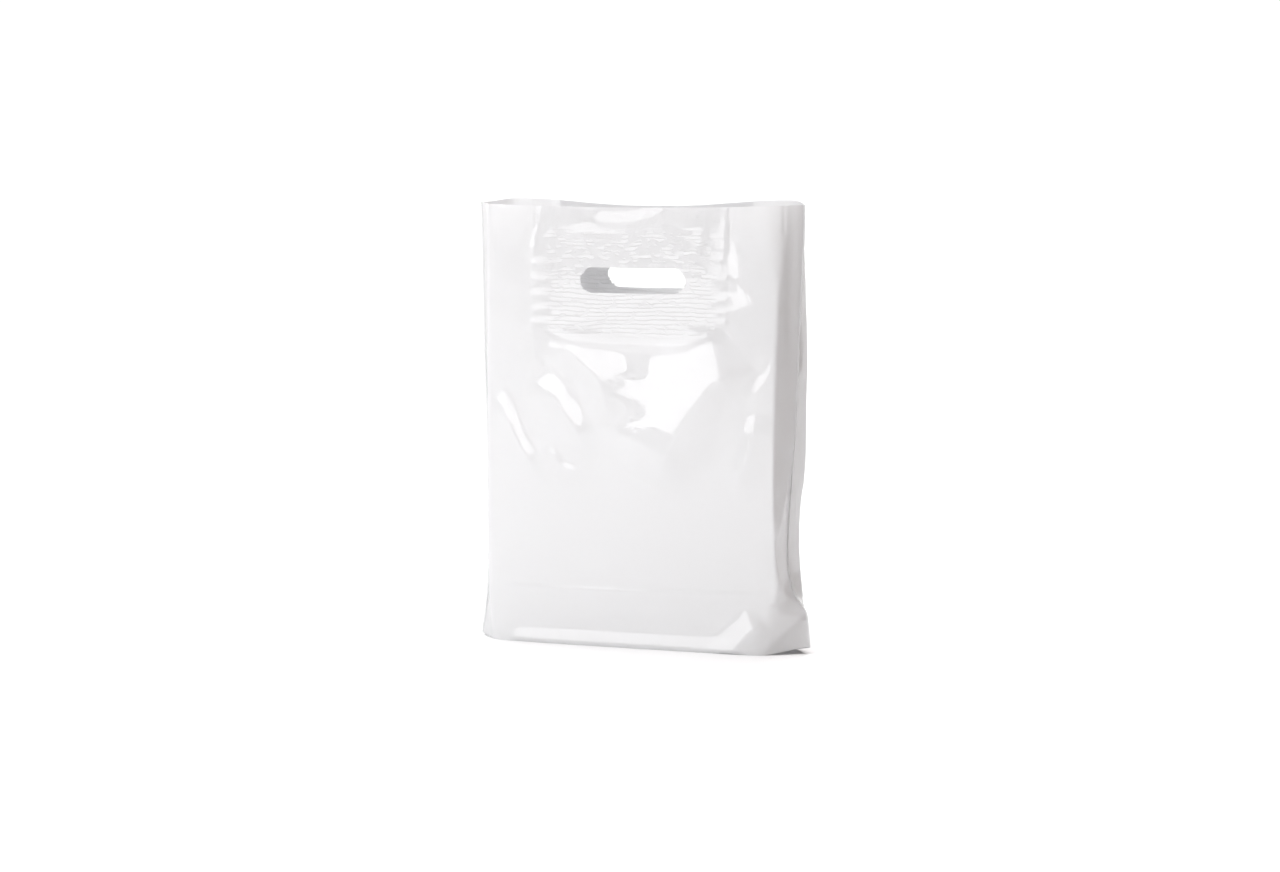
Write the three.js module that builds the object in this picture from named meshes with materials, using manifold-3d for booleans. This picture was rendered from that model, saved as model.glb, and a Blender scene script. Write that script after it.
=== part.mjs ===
// Patch-handle carrier bag of thin polythene film, standing open on its bottom gusset.
//
// Millimetres, +Z up, origin on the floor under the middle of the bag. +X runs along the width and
// the front wall faces -Y. The film is one folded, side-welded piece. Each of its two walls carries
// a reinforcing patch, sealed on the inside around the die-cut handle hole.

import * as THREE from 'three';
import { mergeVertices } from 'three/addons/utils/BufferGeometryUtils.js';
import Module from 'manifold-3d';

// ---------------------------------------------------------------- driving dimensions
const FILM = 0.06; // thickness of the bag's film and of each patch
const HALF_FLAT = 195; // half of the flat width: the film's length from the middle to a side weld
const GUSSET = 40; // depth of the bottom gusset, folded in on itself when the bag is flat
const WELD = 1.2; // how far the side weld's rib stands out of the bag
const FOLD_RADIUS = 9; // length over which a slack upright fold turns
const GAP = 0.3; // air between a patch and the wall, and between the gusset's ears and the wall

// The standing shape, as rows from the floor to the rim. At each height z the film folds at
// x = fold, half a depth = side away from the welds, and the middle of the wall is middle away.
const RIGHT_SIDE = [
  { z: 0, fold: 143, side: 36, middle: 37.5 },
  { z: 45, fold: 165, side: 28, middle: 36.5 },
  { z: 100, fold: 161, side: 33.5, middle: 36 },
  { z: 150, fold: 160, side: 34.5, middle: 36.5 },
  { z: 300, fold: 161, side: 32, middle: 36 },
  { z: 410, fold: 163, side: 28, middle: 32.5 },
  { z: 450, fold: 168, side: 24, middle: 30 },
];
const LEFT_SIDE = [
  { z: 0, fold: 150, side: 32, middle: 37.5 },
  { z: 45, fold: 156, side: 34, middle: 36.5 },
  { z: 125, fold: 157, side: 34.5, middle: 36 },
  { z: 220, fold: 158, side: 32, middle: 36.5 },
  { z: 300, fold: 158, side: 31, middle: 36 },
  { z: 410, fold: 158, side: 28, middle: 32.5 },
  { z: 450, fold: 157, side: 26, middle: 30 },
];
const WALL_HEIGHT = 450; // from the bottom fold to the rim, along the film
const RIM = { seam: 446, front: 442, back: 443, backPeak: 449.5 }; // rim heights
const BACK_RISE = [0.1, 0.75]; // where the back rim rises to its peak, as parts of HALF_FLAT
const BACK_DROP = [0.8, 0.94]; // where it drops from there to the seam
const EAR_LIFT = { right: 6.5, left: 1.5 }; // how far each ear's tip is clear of the floor
const EAR_HEIGHT = 90; // height at which the ears' lift has died out
// A wall's bow: it starts as if flat for this part of the way to the fold, and this part is left there.
const BOW = { flat: 0.6, left: 0.12 };
const FILM_MIDDLE = 2.1; // x of the walls' middle: the left side stands out further than the right

const HANDLE = { width: 116, height: 25.5, x: 7, frontZ: 369, backZ: 372.5 };
const PATCH = { width: 216, x: 4, bottomZ: 313, corner: 12 };
const CUT_REACH = 60; // how far a cut through a wall runs from the bag's middle
const TRIM = { above: 10, below: 30 }; // spare film round a patch, before it is cut to its outline
const MERGE = 1e-4; // points closer than this are one point
const ARC_STEPS = 10; // divisions of each round end of the handle hole

// Divisions of a half wall: across its middle, round its upright fold, and on to the weld.
const MIDDLE_STEPS = 6;
const FOLD_STEPS = 4;
const SIDE_STEPS = 4;
const GUSSET_ROWS = SIDE_STEPS; // so that the ears' folded edge follows the wall's own points
const WALL_ROWS = 14;

const wasm = await Module();
wasm.setup();

// ---------------------------------------------------------------- the standing shape
/** The row of a side's table at height z, blended smoothly from the rows around it. */
function sideAt(rows, z) {
  const above = Math.max(1, rows.findIndex((row) => row.z >= z));
  const [low, high] = [rows[above - 1], rows[above]];
  const f = THREE.MathUtils.smoothstep(z, low.z, high.z);
  const blend = (key) => THREE.MathUtils.lerp(low[key], high[key], f);
  return { fold: blend('fold'), side: blend('side'), middle: blend('middle') };
}

/** Half of a wall in plan, from the middle to the weld: x outwards, y away from the weld. */
function halfSection({ fold, side, middle }) {
  const reach = Math.sqrt(Math.max(0, (HALF_FLAT - fold) ** 2 - side ** 2));
  const weld = new THREE.Vector2(fold + reach, 0);
  const corner = new THREE.Vector2(fold, side);
  const centre = new THREE.Vector2(0, middle);
  const beforeFold = new THREE.Vector2(fold - FOLD_RADIUS, side + (middle - side) * BOW.left);
  const afterFold = corner.clone().lerp(weld, FOLD_RADIUS / corner.distanceTo(weld));
  const bow = new THREE.QuadraticBezierCurve(
    centre, new THREE.Vector2(BOW.flat * fold, middle), beforeFold);
  const turn = new THREE.QuadraticBezierCurve(beforeFold, corner, afterFold);
  const straight = new THREE.LineCurve(afterFold, weld);
  return [
    ...bow.getPoints(MIDDLE_STEPS),
    ...turn.getPoints(FOLD_STEPS).slice(1),
    ...straight.getPoints(SIDE_STEPS).slice(1),
  ];
}

/** Height of the rim above the floor at x, on the front wall (-1) or the back wall (+1). */
function rimHeight(x, wall) {
  const out = Math.abs(x) / HALF_FLAT;
  if (wall < 0) return THREE.MathUtils.lerp(RIM.front, RIM.seam, out ** 2);
  const rise = THREE.MathUtils.smoothstep(out, ...BACK_RISE);
  const drop = THREE.MathUtils.smoothstep(out, ...BACK_DROP);
  const peak = THREE.MathUtils.lerp(RIM.back, RIM.backPeak, rise);
  return THREE.MathUtils.lerp(peak, RIM.seam, drop);
}

/** One row of a wall's points at height z along the film, from the left weld to the right. */
function wallRow(z, wall, inset = 0) {
  const right = halfSection(sideAt(RIGHT_SIDE, z));
  const left = halfSection(sideAt(LEFT_SIDE, z)).reverse();
  const plan = [
    ...left.map((p) => new THREE.Vector2(-p.x, p.y)),
    ...right.slice(1),
  ];
  const last = plan.length - 1;
  return plan.map((p, i) => {
    const along = plan[Math.min(last, i + 1)].clone().sub(plan[Math.max(0, i - 1)]).normalize();
    const inwards = new THREE.Vector2(along.y, -along.x).multiplyScalar(inset);
    const weldwards = Math.abs(i - last / 2) - (MIDDLE_STEPS + FOLD_STEPS);
    const lift = i > last / 2 ? EAR_LIFT.right : EAR_LIFT.left;
    const ear = Math.max(0, weldwards / SIDE_STEPS) * lift * Math.max(0, 1 - z / EAR_HEIGHT);
    const height = FILM / 2 + (z * rimHeight(p.x, wall)) / WALL_HEIGHT + ear;
    return new THREE.Vector3(FILM_MIDDLE + p.x + inwards.x, wall * (p.y + inwards.y), height);
  });
}

/** The part of a row on one flank, from the upright fold out to the weld. */
function flank(row, end) {
  return end > 0 ? row.slice(-SIDE_STEPS - 1) : row.slice(0, SIDE_STEPS + 1).reverse();
}

const GUSSET_HEIGHTS = Array.from({ length: GUSSET_ROWS + 1 }, (_, i) => (GUSSET * i) / GUSSET_ROWS);
const UPPER_HEIGHTS = Array.from(
  { length: WALL_ROWS },
  (_, i) => GUSSET + ((WALL_HEIGHT - GUSSET) * (i + 1)) / WALL_ROWS,
);
const HEIGHTS = [...GUSSET_HEIGHTS, ...UPPER_HEIGHTS];

// ---------------------------------------------------------------- sheets into solids
/** An open sheet: a list of points, and triangles between them that all turn the same way. */
class Sheet {
  constructor() {
    this.points = [];
    this.triangles = [];
  }

  add(point) {
    this.points.push(point);
    return this.points.length - 1;
  }

  /** Adds a triangle, turned over if asked, unless two of its corners are the same point. */
  triangle([a, b, c], asGiven = true) {
    if (a === b || b === c || c === a) return;
    this.triangles.push(asGiven ? [a, b, c] : [c, b, a]);
  }

  /** Joins two rows of point numbers with triangles. */
  strip(lower, upper) {
    for (let i = 0; i + 1 < lower.length; i += 1) {
      this.triangle([lower[i], lower[i + 1], upper[i + 1]]);
      this.triangle([lower[i], upper[i + 1], upper[i]]);
    }
  }

  /** The mean direction of the triangles around each point. */
  normals() {
    const sums = this.points.map(() => new THREE.Vector3());
    for (const [a, b, c] of this.triangles) {
      const [p, q, r] = [this.points[a], this.points[b], this.points[c]];
      const face = q.clone().sub(p).cross(r.clone().sub(p)).normalize();
      [a, b, c].forEach((n) => sums[n].add(face));
    }
    return sums.map((sum) => sum.normalize());
  }

  /** The sheet with its thickness, half on each side, closed round its free edges. */
  thicken(thickness) {
    const count = this.points.length;
    const normals = this.normals();
    const shifted = (way) => this.points.map(
      (p, i) => p.clone().addScaledVector(normals[i], (way * thickness) / 2));
    const triangles = [];
    const edges = new Map();
    for (const [a, b, c] of this.triangles) {
      triangles.push([a, b, c], [c + count, b + count, a + count]);
      for (const [from, to] of [[a, b], [b, c], [c, a]]) {
        if (!edges.delete(`${to},${from}`)) edges.set(`${from},${to}`, [from, to]);
      }
    }
    for (const [from, to] of edges.values()) {
      triangles.push([to, from, from + count], [to, from + count, to + count]);
    }
    return solid([...shifted(1), ...shifted(-1)], triangles);
  }
}

/** A manifold-3d solid from points and triangles. */
function solid(points, triangles) {
  return new wasm.Manifold(new wasm.Mesh({
    numProp: 3,
    vertProperties: new Float32Array(points.flatMap((p) => [p.x, p.y, p.z])),
    triVerts: new Uint32Array(triangles.flat()),
  }));
}

/** A manifold-3d solid from a closed three.js geometry. */
function solidOf(geometry) {
  geometry.deleteAttribute('normal');
  geometry.deleteAttribute('uv');
  const merged = mergeVertices(geometry, MERGE);
  return new wasm.Manifold(new wasm.Mesh({
    numProp: 3,
    vertProperties: new Float32Array(merged.attributes.position.array),
    triVerts: new Uint32Array(merged.index.array),
  }));
}

/** A named mesh from a manifold-3d solid. */
function meshOf(name, body, material) {
  const { vertProperties, triVerts } = body.getMesh();
  const geometry = new THREE.BufferGeometry();
  geometry.setAttribute('position', new THREE.BufferAttribute(vertProperties, 3));
  geometry.setIndex(new THREE.BufferAttribute(triVerts, 1));
  geometry.computeVertexNormals();
  const mesh = new THREE.Mesh(geometry, material);
  mesh.name = name;
  return mesh;
}

// ---------------------------------------------------------------- the film
/** Both walls as one tube, joined at the side welds and open at the rim and the bottom. */
function makeWalls() {
  const sheet = new Sheet();
  const rings = HEIGHTS.map((z) => {
    const front = wallRow(z, -1);
    const back = wallRow(z, 1).reverse();
    return [...front, ...back.slice(1, -1)].map((p) => sheet.add(p));
  });
  for (let row = 0; row + 1 < rings.length; row += 1) {
    const closed = (ring) => [...ring, ring[0]];
    sheet.strip(closed(rings[row]), closed(rings[row + 1]));
  }
  return sheet.thicken(FILM);
}

/** The rib of a side weld, where the two walls are sealed and trimmed together. */
function makeWeld(end) {
  const sheet = new Sheet();
  const inner = HEIGHTS.map((z) => flank(wallRow(z, -1), end)[SIDE_STEPS]);
  const tip = inner.map((p) => p.clone().add(new THREE.Vector3(end * WELD, 0, 0)));
  const numbers = [inner, tip].map((points) => points.map((p) => sheet.add(p)));
  sheet.strip(...(end > 0 ? numbers : numbers.reverse()));
  return sheet.thicken(2 * FILM);
}

/**
 * One ear of the gusset: the film that lies against a wall's inside between its upright fold and
 * its weld, a triangle folded off along the line from the floor to the weld's gusset top. Returns
 * the points of that folded edge.
 */
function addEar(sheet, bottom, weld, wall, end) {
  const columns = GUSSET_HEIGHTS.map((z, j) => {
    const row = wallRow(z, wall, GAP + FILM);
    return flank(row, end).map((p, i) => {
      if (j === 0) return bottom[i];
      if (i === SIDE_STEPS) return weld[j];
      return i < j ? null : sheet.add(p);
    });
  });
  const outwards = wall * end < 0;
  for (let i = 0; i < SIDE_STEPS; i += 1) {
    for (let j = 0; j <= i; j += 1) {
      const [a, b, c] = [columns[j][i], columns[j][i + 1], columns[j + 1][i + 1]];
      sheet.triangle([a, b, c], outwards);
      if (j < i) sheet.triangle([a, c, columns[j + 1][i]], outwards);
    }
  }
  return GUSSET_HEIGHTS.map((z, i) => columns[i][i]);
}

/**
 * The bottom gusset, opened out. Its middle is flat on the floor. At each end it is folded into an
 * ear against each wall, and slopes up between the two ears to the weld.
 */
function makeGusset() {
  const sheet = new Sheet();
  const front = wallRow(0, -1).map((p) => sheet.add(p));
  const last = front.length - 1;
  const back = wallRow(0, 1).map((p, i) => (i % last === 0 ? front[i] : sheet.add(p)));
  const middle = last / 2;
  const reach = MIDDLE_STEPS - 1; // columns from the middle to where the slopes begin
  const centre = front.map((n, i) => {
    if (Math.abs(i - middle) > reach) return null;
    const p = sheet.points[n];
    return sheet.add(new THREE.Vector3(p.x, 0, p.z));
  });
  const centreAt = (i) => centre[THREE.MathUtils.clamp(i, middle - reach, middle + reach)];
  const floor = front.map((n, i) => i).slice(SIDE_STEPS, -SIDE_STEPS);
  sheet.strip(floor.map((i) => front[i]), floor.map(centreAt));
  sheet.strip(floor.map(centreAt), floor.map((i) => back[i]));
  for (const end of [-1, 1]) {
    const weld = GUSSET_HEIGHTS.map((z, j) => {
      if (j === 0) return flank(front, end)[SIDE_STEPS];
      return sheet.add(flank(wallRow(z, -1), end)[SIDE_STEPS]);
    });
    const apex = centreAt(end < 0 ? 0 : last);
    for (const [wall, row] of [[-1, front], [1, back]]) {
      const edge = addEar(sheet, flank(row, end), weld, wall, end);
      for (let i = 0; i + 1 < edge.length; i += 1) {
        sheet.triangle([apex, edge[i], edge[i + 1]], wall * end < 0);
      }
    }
  }
  return sheet.thicken(FILM);
}

// ---------------------------------------------------------------- the handle and its patches
/** A solid right through one wall, from an outline drawn in X and Z. */
function through(outline, wall) {
  const settings = { depth: CUT_REACH, bevelEnabled: false, curveSegments: ARC_STEPS };
  const geometry = new THREE.ExtrudeGeometry(outline, settings);
  geometry.rotateX(Math.PI / 2); // the outline's Y becomes Z, and the extrusion runs towards -Y
  if (wall > 0) geometry.translate(0, CUT_REACH, 0);
  return solidOf(geometry);
}

/** The die-cut handle hole: a slot with half-round ends. */
function handleOutline(wall) {
  const z = wall < 0 ? HANDLE.frontZ : HANDLE.backZ;
  const r = HANDLE.height / 2;
  const half = HANDLE.width / 2 - r;
  const shape = new THREE.Shape();
  shape.absarc(HANDLE.x + half, z, r, -Math.PI / 2, Math.PI / 2);
  shape.absarc(HANDLE.x - half, z, r, Math.PI / 2, (3 * Math.PI) / 2);
  return shape;
}

/** The patch's outline: square at the rim, with rounded lower corners. */
function patchOutline() {
  const { width, x, bottomZ, corner } = PATCH;
  const [left, right, top] = [x - width / 2, x + width / 2, WALL_HEIGHT + TRIM.above];
  const shape = new THREE.Shape();
  shape.moveTo(left, top);
  shape.lineTo(left, bottomZ + corner);
  shape.absarc(left + corner, bottomZ + corner, corner, Math.PI, 1.5 * Math.PI);
  shape.absarc(right - corner, bottomZ + corner, corner, 1.5 * Math.PI, 2 * Math.PI);
  shape.lineTo(right, top);
  return shape;
}

/** A reinforcing patch: a second layer of film, sealed inside a wall and cut with it. */
function makePatch(wall) {
  const sheet = new Sheet();
  const rows = HEIGHTS.filter((z) => z > PATCH.bottomZ - TRIM.below).map((z) => (
    wallRow(z, wall, GAP + FILM)
      .slice(SIDE_STEPS + FOLD_STEPS, -SIDE_STEPS - FOLD_STEPS)
      .map((p) => sheet.add(p))));
  for (let i = 0; i + 1 < rows.length; i += 1) sheet.strip(rows[i], rows[i + 1]);
  return sheet.thicken(FILM)
    .intersect(through(patchOutline(), wall))
    .subtract(through(handleOutline(wall), wall));
}

/** The bag itself: walls, welds and gusset as the one piece of film they are made from. */
function makeBag() {
  return makeWalls()
    .add(makeGusset())
    .add(makeWeld(-1))
    .add(makeWeld(1))
    .subtract(through(handleOutline(-1), -1))
    .subtract(through(handleOutline(1), 1));
}

// ---------------------------------------------------------------- the object
const film = new THREE.MeshStandardMaterial({ color: 0xe9eaec, roughness: 0.3, metalness: 0 });
const patchFilm = new THREE.MeshStandardMaterial({ color: 0xeeeff1, roughness: 0.35, metalness: 0 });

const bag = new THREE.Group();
bag.add(meshOf('bag_film', makeBag(), film));
bag.add(meshOf('front_patch', makePatch(-1), patchFilm));
bag.add(meshOf('back_patch', makePatch(1), patchFilm));

export default bag;
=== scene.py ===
# %% [markdown]
# # A patch-handle carrier bag
#
# The bag is one sheet of thin white polythene film. The bag machine folds it at the bottom, tucks the
# fold in as a gusset, welds and trims both sides in one stroke, and punches a slot for the hand. Before
# that, a rectangle of film is heat-sealed inside each wall, so that the slot doesn't tear. Nothing else
# is on it, so this file makes three pieces: the film and its two patches.
#
# The CAD model gives the frame: where the bag stands and how large it is.

# %% Load the frame
import math

import bmesh
import bpy
import numpy as np
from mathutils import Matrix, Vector


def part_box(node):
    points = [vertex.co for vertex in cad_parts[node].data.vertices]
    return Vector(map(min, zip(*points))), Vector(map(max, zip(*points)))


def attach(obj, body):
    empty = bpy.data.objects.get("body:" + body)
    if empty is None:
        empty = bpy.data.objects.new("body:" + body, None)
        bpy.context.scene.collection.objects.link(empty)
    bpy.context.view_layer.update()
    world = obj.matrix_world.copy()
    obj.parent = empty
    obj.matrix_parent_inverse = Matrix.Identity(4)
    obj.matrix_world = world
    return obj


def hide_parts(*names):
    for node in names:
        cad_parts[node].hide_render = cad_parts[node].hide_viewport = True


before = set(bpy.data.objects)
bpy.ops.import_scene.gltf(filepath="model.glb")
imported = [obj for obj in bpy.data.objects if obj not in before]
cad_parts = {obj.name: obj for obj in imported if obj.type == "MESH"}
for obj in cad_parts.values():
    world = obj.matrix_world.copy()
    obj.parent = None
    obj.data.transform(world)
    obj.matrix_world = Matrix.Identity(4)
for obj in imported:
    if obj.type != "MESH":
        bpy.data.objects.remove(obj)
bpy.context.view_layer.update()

MM = 0.001
bag_low, bag_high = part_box("bag_film")
print("the bag is", [round((b - a) / MM) for a, b in zip(bag_low, bag_high)], "mm")

# %% [markdown]
# ## The flat film
#
# A film bag is known by its flat sizes, because film doesn't stretch when the bag is opened: it only
# folds. So every point of the film is named by two flat lengths. `across` runs from the left weld to the
# right one, and `along` runs from the front rim down the front wall, round the gusset and up the back.
# All lengths are in millimetres until the points are handed to Blender, which wants metres.

# %% The film's flat sizes
HALF_FLAT = 195.0  # from the middle of a wall to a side weld
WALL_HEIGHT = 450.0  # from the rim to the bottom fold
GUSSET = 40.0  # depth of the gusset
FILM = 0.06  # thickness of the film and of the patches
FULL_LENGTH = 2 * WALL_HEIGHT + 2 * GUSSET
film_middle = 2.1  # x of the walls' middle, a little right of the bag's own middle
print("the film is cut from", 2 * HALF_FLAT, "x", FULL_LENGTH, "mm")

# %% [markdown]
# ## The standing shape
#
# Opened out, each wall is a slack panel: nearly flat across the middle, turned by a soft upright fold near
# each side, then straight back to the weld. The table gives, from the floor to the rim, how far out the
# upright fold stands (`fold`), how far the film is from the bag's middle plane there (`side`) and in the
# middle of the wall (`MIDDLE`), how far out the weld stands (`seam`), and how softly the film turns
# (`round`). The right flank is pinched in above its ear, where the gusset's fold pulls the weld inwards.
# The rows keep within a few millimetres of the CAD model's, with more of them where the film turns.

# %% The rows of the standing shape
FRONT_RIGHT = dict(
    fold=[(0, 143), (20, 150), (45, 159), (72, 164.3), (100, 162), (150, 160.4), (230, 160), (330, 160.8),
          (400, 162.5), (430, 165), (450, 169)],
    side=[(0, 36), (20, 34), (45, 32), (80, 33), (120, 34.3), (200, 34), (300, 30.5), (385, 25.8),
          (450, 20.5)],
    seam=[(0, 184), (24, 182), (39, 179.8), (49, 173.6), (56, 168.4), (70, 163.2), (90, 160.8), (110, 160.1),
          (150, 162.3), (192, 165.5), (233, 168.6), (315, 171.5), (382, 174.8), (420, 176.6), (450, 176.8)],
    round=[(0, 12), (50, 9), (75, 3.2), (330, 2.6), (380, 6), (420, 16), (450, 22)],
)
BACK_RIGHT = dict(
    FRONT_RIGHT,
    fold=[(0, 152), (27, 165), (45, 166), (60, 164.4), (76, 162), (90, 160.2), (120, 158.4), (150, 161),
          (176, 164.6), (230, 167.2), (364, 167), (450, 165)],
    side=[(0, 36), (20, 34), (45, 32), (80, 33), (120, 34.3), (200, 34), (300, 33), (385, 30.4), (450, 26)],
)
LEFT = dict(
    fold=[(0, 150), (45, 155), (125, 157), (220, 158), (410, 158), (450, 157)],
    side=[(0, 32), (45, 34), (125, 34.5), (220, 32.5), (300, 31), (410, 29.6), (450, 29)],
    seam=None,
    round=[(0, 10), (60, 6), (330, 5), (450, 8)],
)
MIDDLE = [(0, 37.3), (45, 37), (120, 37), (200, 36.8), (255, 36), (313, 35), (412, 32.3), (450, 31.8)]
RIM = dict(seam=446, front=442, back=443, back_peak=449.5)
EAR_LIFT = dict(right=6.5, left=1.5)
SLOT = dict(width=116, height=25.5, x=4.9, front_z=369, back_z=372.5)
PATCH = dict(width=216, x=1.9, bottom=313, corner=12)
print("the rim stands", RIM["front"], "to", RIM["back_peak"], "mm over the floor")


# %% [markdown]
# Between two rows of the table the shape changes smoothly. NumPy works on all the film's points at once:
# `step` is the usual smooth ramp from 0 to 1, and `curve` runs a smooth line through the rows.

# %% Smooth ramps and curves
def step(value, low, high):
    """A smooth ramp from 0 at low to 1 at high."""
    f = np.clip((value - low) / (high - low), 0, 1)
    return f * f * (3 - 2 * f)


def blend(a, b, f):
    return a + (b - a) * f


def smooth_path(points, count=24):
    """A curve through the given points, as `count` points."""
    p = np.array([points[0], *points, points[-1]], float)
    out = []
    for u in np.linspace(0, len(points) - 1 - 1e-9, count):
        i, f = int(u), u - int(u)
        a, b, c, d = p[i : i + 4]
        out.append(b + 0.5 * f * (c - a + f * (2 * a - 5 * b + 4 * c - d + f * (3 * (b - c) + d - a))))
    return np.array(out)


def curve(rows, z):
    """The value at the heights z of the smooth line through (height, value) rows."""
    line = smooth_path(rows, 20 * len(rows))
    return np.interp(z, np.maximum.accumulate(line[:, 0]), line[:, 1])


MID_HEIGHT = WALL_HEIGHT / 2
mid_fold = float(curve(FRONT_RIGHT["fold"], MID_HEIGHT))
print("at mid height the right front fold stands", round(mid_fold), "mm out")


# %% [markdown]
# ## A wall's section
#
# Seen from above, half a wall runs from its middle out to the weld. Up to the upright fold it bows
# gently, and past it the film is straight. The fold itself is a quarter of a roll: a short parabola that
# leaves the bow and meets the straight flank without a kink.

# %% Half of a wall in plan
BOW = 3.4  # how flat the middle of a wall stays: 2 would be a round bow
WELD_BEAD = 0.35  # half thickness of the molten bead along the weld
WELD_HALF = 0.12  # half thickness where the two walls meet it
WELD_WIDTH = 1.6  # width of the welded rib


def bow(s, fold, side, middle):
    """The bowed middle of the wall: x and depth at the flat distance s."""
    return s, middle - (middle - side) * np.clip(s / fold, 0, None) ** BOW


def flank(s, fold, side, weld):
    """The straight flank, from the fold to the weld."""
    f = (s - fold) / (HALF_FLAT - WELD_WIDTH - fold)
    return blend(fold, weld, f), blend(side, WELD_HALF, f)


def half_section(s, z, rows):
    """x and depth of the film at the flat distance s from the wall's middle, for arrays of points."""
    fold, side, middle = curve(rows["fold"], z), curve(rows["side"], z), curve(MIDDLE, z)
    round_ = curve(rows["round"], z)
    reach = np.sqrt(np.maximum(0, (HALF_FLAT - fold) ** 2 - side**2))
    weld = curve(rows["seam"], z) if rows["seam"] else fold + reach - WELD_WIDTH
    x, depth = bow(s, fold, side, middle)
    on_flank = s > fold
    fx, fdepth = flank(s, fold, side, weld)
    x, depth = np.where(on_flank, fx, x), np.where(on_flank, fdepth, depth)
    u = np.clip((s - fold + round_) / (2 * round_), 0, 1)
    ax, adepth = bow(fold - round_, fold, side, middle)
    bx, bdepth = flank(fold + round_, fold, side, weld)
    turn_x = (1 - u) ** 2 * ax + 2 * u * (1 - u) * fold + u**2 * bx
    turn_depth = (1 - u) ** 2 * adepth + 2 * u * (1 - u) * side + u**2 * bdepth
    turning = np.abs(s - fold) < round_
    x, depth = np.where(turning, turn_x, x), np.where(turning, turn_depth, depth)
    # The rib of the weld: both walls run on together, and end in one bead.
    rib = np.clip((s - (HALF_FLAT - WELD_WIDTH)) / WELD_WIDTH, 0, 1)
    in_rib = rib > 0
    bead = blend(WELD_HALF, WELD_BEAD, step(rib, 0, 0.6)) * np.sqrt(1 - rib**4)
    return np.where(in_rib, weld + WELD_WIDTH * rib, x), np.where(in_rib, bead, depth)


# %% [markdown]
# ## A wall's place
#
# The rim isn't level: the front wall sags a little between its welds, and the slack back wall stands
# higher near its ends. The film keeps its length, so each wall is set between the floor and its rim. Past
# the upright fold its bottom edge leaves the floor, because the gusset's ear lifts it.

# %% The rim, and both halves of a wall's section
def rim_height(s, wall):
    out = np.abs(s) / HALF_FLAT
    front = blend(RIM["front"], RIM["seam"], out**2)
    peak = blend(RIM["back"], RIM["back_peak"], step(out, 0.1, 0.75))
    back = blend(peak, RIM["seam"], step(out, 0.8, 0.98))
    return front if wall < 0 else back


def rows_of(wall):
    """The right and left rows of a wall."""
    return (FRONT_RIGHT if wall < 0 else BACK_RIGHT), LEFT


def section_at(s, z, wall):
    """x and depth on a wall at the flat distance s, for both halves of the wall."""
    right, left = (half_section(np.abs(s), z, rows) for rows in rows_of(wall))
    x = np.where(s > 0, right[0], -left[0])
    return x, np.where(s > 0, right[1], left[1])


def fold_at(s, z, wall):
    right, left = (curve(rows["fold"], z) for rows in rows_of(wall))
    return np.where(s > 0, right, left)


def section_length(z, wall, end):
    """Length of half a section, which on real film is the flat length."""
    s = end * np.linspace(1e-6, HALF_FLAT, 2000)
    return float(np.hypot(*np.diff(section_at(s, np.full_like(s, z), wall), axis=1)).sum())


print("half of the front wall is", round(section_length(MID_HEIGHT, -1, 1), 1), "mm long to the right and",
      round(section_length(MID_HEIGHT, -1, -1), 1), "mm to the left, and", HALF_FLAT, "mm flat")

# %% [markdown]
# With the section known at every height, a point of the wall is placed, and may be lifted out of the
# wall along its normal. Creases use that lift, and so do the layers that lie against the wall.

# %% A point of a wall
EAR_START = 9  # from the upright fold to where the ear begins to lift the film
EAR_REACH = 35  # from there to its full lift
EAR_HEIGHT = 90  # height at which the lift has faded out
NORMAL_STEP = 0.5  # length over which the section's direction is measured


def wall_point(s, z, wall, lift=0.0):
    """Points of a wall (-1 front, +1 back), lifted out of the wall by `lift` along its normal."""
    x, depth = section_at(s, z, wall)
    outwards = np.where(s > 0, 1.0, -1.0)
    x2, depth2 = section_at(s - NORMAL_STEP * outwards, z, wall)
    dx, ddepth = (x - x2) * outwards, depth - depth2
    size = np.maximum(np.hypot(dx, ddepth), 1e-6)
    out_x, out_depth = -ddepth / size * outwards, dx / size
    past_fold = np.clip((np.abs(s) - fold_at(s, z, wall) - EAR_START) / EAR_REACH, 0, 1)
    ear_lift = np.where(s > 0, EAR_LIFT["right"], EAR_LIFT["left"]) * np.clip(1 - z / EAR_HEIGHT, 0, 1)
    height = FILM / 2 + z * rim_height(s, wall) / WALL_HEIGHT + past_fold * ear_lift
    return np.stack([film_middle + x + out_x * lift, wall * (depth + out_depth * lift), height], -1)


corner = wall_point(np.array([HALF_FLAT]), np.array([WALL_HEIGHT]), -1)[0]
print("the right weld meets the rim at", [round(float(c)) for c in corner], "mm")


# %% [markdown]
# ## The gusset
#
# Where the bag is flat, the gusset is tucked in. Where it stands open, its middle lies on the floor, and
# each end becomes an ear: a triangle of gusset film that still lies against the inside of each wall, and
# a slope between the two ears that climbs from the floor to the weld. Both triangles are flat film, so a
# point on them is found from where it lies in the flat triangle.

# %% The gusset's place in space
APEX = 120.0  # where the slopes leave the floor, from the bag's middle
EAR_GAP = 0.25  # between an ear and the wall that it lies against
GAP_RAMP = 4  # width over which that gap opens, from the fold
WELD_CLEARANCE = 0.1  # from the gusset's own edge to the walls' weld


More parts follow.
